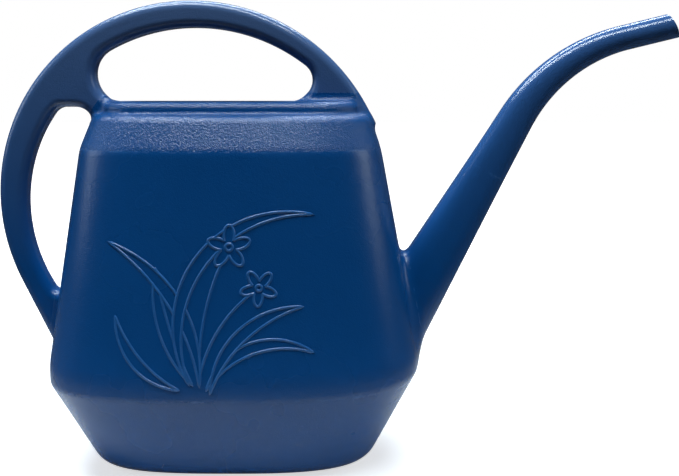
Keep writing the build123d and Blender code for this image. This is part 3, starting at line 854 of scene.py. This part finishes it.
def bead_tree():
    """A half-round bead along every line of a wire, of a given radius and smoothness."""
    tree = bpy.data.node_groups.new("moulded bead", "GeometryNodeTree")
    tree.interface.new_socket("Wire", in_out="INPUT", socket_type="NodeSocketGeometry")
    tree.interface.new_socket("Radius", in_out="INPUT", socket_type="NodeSocketFloat")
    tree.interface.new_socket("Sides", in_out="INPUT", socket_type="NodeSocketInt")
    tree.interface.new_socket("Material", in_out="INPUT", socket_type="NodeSocketMaterial")
    tree.interface.new_socket("Bead", in_out="OUTPUT", socket_type="NodeSocketGeometry")
    given, result = tree.nodes.new("NodeGroupInput"), tree.nodes.new("NodeGroupOutput")
    to_curve = tree.nodes.new("GeometryNodeMeshToCurve")
    profile = tree.nodes.new("GeometryNodeCurvePrimitiveCircle")
    sweep = tree.nodes.new("GeometryNodeCurveToMesh")
    sweep.inputs["Fill Caps"].default_value = True
    realize = tree.nodes.new("GeometryNodeRealizeInstances")
    finish = tree.nodes.new("GeometryNodeSetMaterial")
    tree.links.new(given.outputs["Wire"], to_curve.inputs["Mesh"])
    tree.links.new(given.outputs["Radius"], profile.inputs["Radius"])
    tree.links.new(given.outputs["Sides"], profile.inputs["Resolution"])
    tree.links.new(to_curve.outputs["Curve"], sweep.inputs["Curve"])
    tree.links.new(profile.outputs["Curve"], sweep.inputs["Profile Curve"])
    tree.links.new(sweep.outputs["Mesh"], realize.inputs["Geometry"])
    tree.links.new(realize.outputs["Geometry"], finish.inputs["Geometry"])
    tree.links.new(given.outputs["Material"], finish.inputs["Material"])
    tree.links.new(finish.outputs["Geometry"], result.inputs["Bead"])
    return tree


bead = bead_tree()


def beaded(name, wires, side):
    """Beads along outlines on one wall; each wire is a list of points and of the edges to keep."""
    points, edges = [], []
    for line, kept in wires:
        edges += [(a + len(points), b + len(points)) for a, b in kept]
        points += (on_wall(line, side, bead_proud - bead_radius) * mm).tolist()
    mesh = bpy.data.meshes.new(name)
    mesh.from_pydata(points, edges, [])
    made = bpy.data.objects.new(name, mesh)
    bpy.context.scene.collection.objects.link(made)
    sweep = made.modifiers.new("bead", "NODES")
    sweep.node_group = bead
    values = {"Radius": bead_radius * mm, "Sides": bead_sides, "Material": relief_plastic}
    for item in bead.interface.items_tree:
        if item.name in values:
            sweep[item.identifier] = values[item.name]
    bpy.context.view_layer.update()
    graph = bpy.context.evaluated_depsgraph_get()
    swept = bpy.data.meshes.new_from_object(made.evaluated_get(graph))
    made.modifiers.clear()
    made.data = swept
    swept.polygons.foreach_set("use_smooth", np.ones(len(swept.polygons), bool))
    return made


# The beads are painted a fixed share paler towards the rubbed blue, as painted highlight.
relief_plastic = plastic("relief polyethylene", 0.1, 0.2, painted_highlight=0.3)
leaf_rims = [leaf_rim(*leaf) for leaf in leaves]
petal_rims = []
for middle, petal, turn, _ in blossoms:
    for count in range(petal_count):
        bearing = math.radians(turn + 360 * count / petal_count)
        angle = np.linspace(0, 2 * math.pi, petal_points, endpoint=False)
        along, across = petal / 2 * (1 + np.cos(angle)), petal * petal_share * np.sin(angle)
        rim_x = middle[0] + along * math.cos(bearing) - across * math.sin(bearing)
        rim_z = middle[1] + along * math.sin(bearing) + across * math.cos(bearing)
        petal_rims.append(np.stack([rim_x, rim_z], 1))
leaf_wires = []
for number, rim in enumerate(leaf_rims):
    leaf_wires.append((rim, broken(rim, leaf_rims[:number] + petal_rims)))
for middle, _, _, bow in blossoms:
    stem = bowed(stem_root, middle, bow)
    leaf_wires.append((stem, broken(stem, leaf_rims + petal_rims, closed=False)))
petal_wires = []
for number, rim in enumerate(petal_rims):
    petal_wires.append((rim, broken(rim, petal_rims[:number] + petal_rims[number + 1 :])))
for middle, petal, _, _ in blossoms:
    angle = np.linspace(0, 2 * math.pi, eye_points, endpoint=False)
    eye_x = middle[0] + petal * eye_share * np.cos(angle)
    eye_z = middle[1] + petal * eye_share * np.sin(angle)
    eye = np.stack([eye_x, eye_z], 1)
    petal_wires.append((eye, [(i, (i + 1) % eye_points) for i in range(eye_points)]))
for side, where in ((-1, "right"), (1, "left")):
    drawn = beaded("leaf_outlines_" + where, leaf_wires, side)
    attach(drawn, "root")
    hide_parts(where + "_leaves")
    drawn = beaded("blossom_outlines_" + where, petal_wires, side)
    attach(drawn, "root")
    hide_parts(where + "_blossoms")

# ---------------------------------------------------------------------------
# Stage: a pale floor that is bright only under and behind the can, two long lights overhead and
# one at each side, in a dim room that the camera sees as white. The camera is nearly square
# to the can's long side and a little above it.
# ---------------------------------------------------------------------------
floor_half, floor_drop = 6, 0.0003
front_dark, front_bright = (-0.30, 0.03), (-0.12, 0.74)  # place along Y, and floor colour there
round_full, round_faded = (0.16, 1.0), (0.34, 0.06)  # distance from the can, and share kept
seen_floor = 0.8
glow_near, glow_far = (0.5, 0.65), (1.4, 1.2)  # distance, and strength, for the camera only
lit_floor_glow = 0.08
room_front, room_back = (-0.1, 0.015), (0.9, 0.12)  # direction along Y, and strength
light_colour = (0.82, 0.93, 1.0)


def graded(tree, value, start, end):
    """A value carried between two pairs, each of where it is and what it becomes there."""
    return map_range(tree, value, start[0], end[0], start[1], end[1])


floor_mesh = bpy.data.meshes.new("floor")
floor_signs = ((-1, -1), (1, -1), (1, 1), (-1, 1))
floor_corners = [(floor_half * x, floor_half * y, 0) for x, y in floor_signs]
floor_mesh.from_pydata(floor_corners, [], [(0, 1, 2, 3)])
floor = bpy.data.objects.new("floor", floor_mesh)
floor.location.z = -floor_drop
bpy.context.scene.collection.objects.link(floor)
pale = bpy.data.materials.new("floor")
pale.use_nodes = True
tree = pale.node_tree
matte = tree.nodes["Principled BSDF"]
matte.inputs["Roughness"].default_value = 0.9
matte.inputs["Emission Color"].default_value = (1, 1, 1, 1)
place = tree.nodes.new("ShaderNodeTexCoord").outputs["Object"]
apart = shader_node(tree, "ShaderNodeSeparateXYZ")
tree.links.new(place, apart.inputs[0])
seen = tree.nodes.new("ShaderNodeLightPath").outputs["Is Camera Ray"]
near = graded(tree, apart.outputs["Y"], front_dark, front_bright)
away = shader_node(tree, "ShaderNodeVectorMath", {"operation": "LENGTH"})
tree.links.new(place, away.inputs[0])
close = graded(tree, away.outputs["Value"], round_full, round_faded)
near = calculate(tree, "MULTIPLY", near, close)
shade = calculate(tree, "MAXIMUM", near, calculate(tree, "MULTIPLY", seen, seen_floor))
tree.links.new(shade, matte.inputs["Base Color"])
glow = graded(tree, away.outputs["Value"], glow_near, glow_far)
glow = calculate(tree, "MULTIPLY", seen, glow)
glow = calculate(tree, "MAXIMUM", glow, calculate(tree, "MULTIPLY", near, lit_floor_glow))
tree.links.new(glow, matte.inputs["Emission Strength"])
floor_mesh.materials.append(pale)


def softbox(name, place, aim, size, power):
    """A rectangular soft light turned towards a point."""
    data = bpy.data.lights.new(name, "AREA")
    data.shape, data.size, data.size_y, data.energy = "RECTANGLE", size[0], size[1], power
    made = bpy.data.objects.new(name, data)
    made.location = place
    made.rotation_euler = (Vector(aim) - Vector(place)).to_track_quat("-Z", "Y").to_euler()
    data.color = light_colour
    bpy.context.scene.collection.objects.link(made)


middle = (0.03, 0, 0.13)
softbox("over_front", (-0.1, -0.3, 1.35), middle, (1.3, 0.1), 21)
softbox("over_back", (-0.1, 0.5, 1.2), middle, (1.3, 0.12), 17)
softbox("left", (-1.6, -0.1, 0.8), middle, (0.5, 0.9), 5)
softbox("right", (1.6, -0.1, 0.8), middle, (0.5, 0.9), 5)

world = bpy.data.worlds.new("studio")
bpy.context.scene.world = world
world.use_nodes = True
air = world.node_tree
air.nodes.clear()
place = shader_node(air, "ShaderNodeTexCoord").outputs["Generated"]
apart = shader_node(air, "ShaderNodeSeparateXYZ")
air.links.new(place, apart.inputs[0])
ramp = graded(air, apart.outputs["Y"], room_front, room_back)
seen = shader_node(air, "ShaderNodeBackground", (), {"Color": (1, 1, 1, 1), "Strength": 1.0})
felt = shader_node(air, "ShaderNodeBackground", (), {"Color": (*light_colour, 1)})
air.links.new(ramp, felt.inputs["Strength"])
ray = shader_node(air, "ShaderNodeLightPath")
choose = shader_node(air, "ShaderNodeMixShader")
air.links.new(ray.outputs["Is Camera Ray"], choose.inputs["Fac"])
air.links.new(felt.outputs[0], choose.inputs[1])
air.links.new(seen.outputs[0], choose.inputs[2])
air.links.new(choose.outputs[0], shader_node(air, "ShaderNodeOutputWorld").inputs["Surface"])

camera_data = bpy.data.cameras.new("camera")
camera_data.lens, camera_data.sensor_width = 49.31, 36
camera = bpy.data.objects.new("camera", camera_data)
camera.location = (0.06503, -0.58066, 0.23254)
camera.rotation_euler = (math.radians(80.958), 0, 0)
bpy.context.scene.collection.objects.link(camera)
bpy.context.scene.camera = camera
bpy.context.scene.view_settings.view_transform = "Standard"
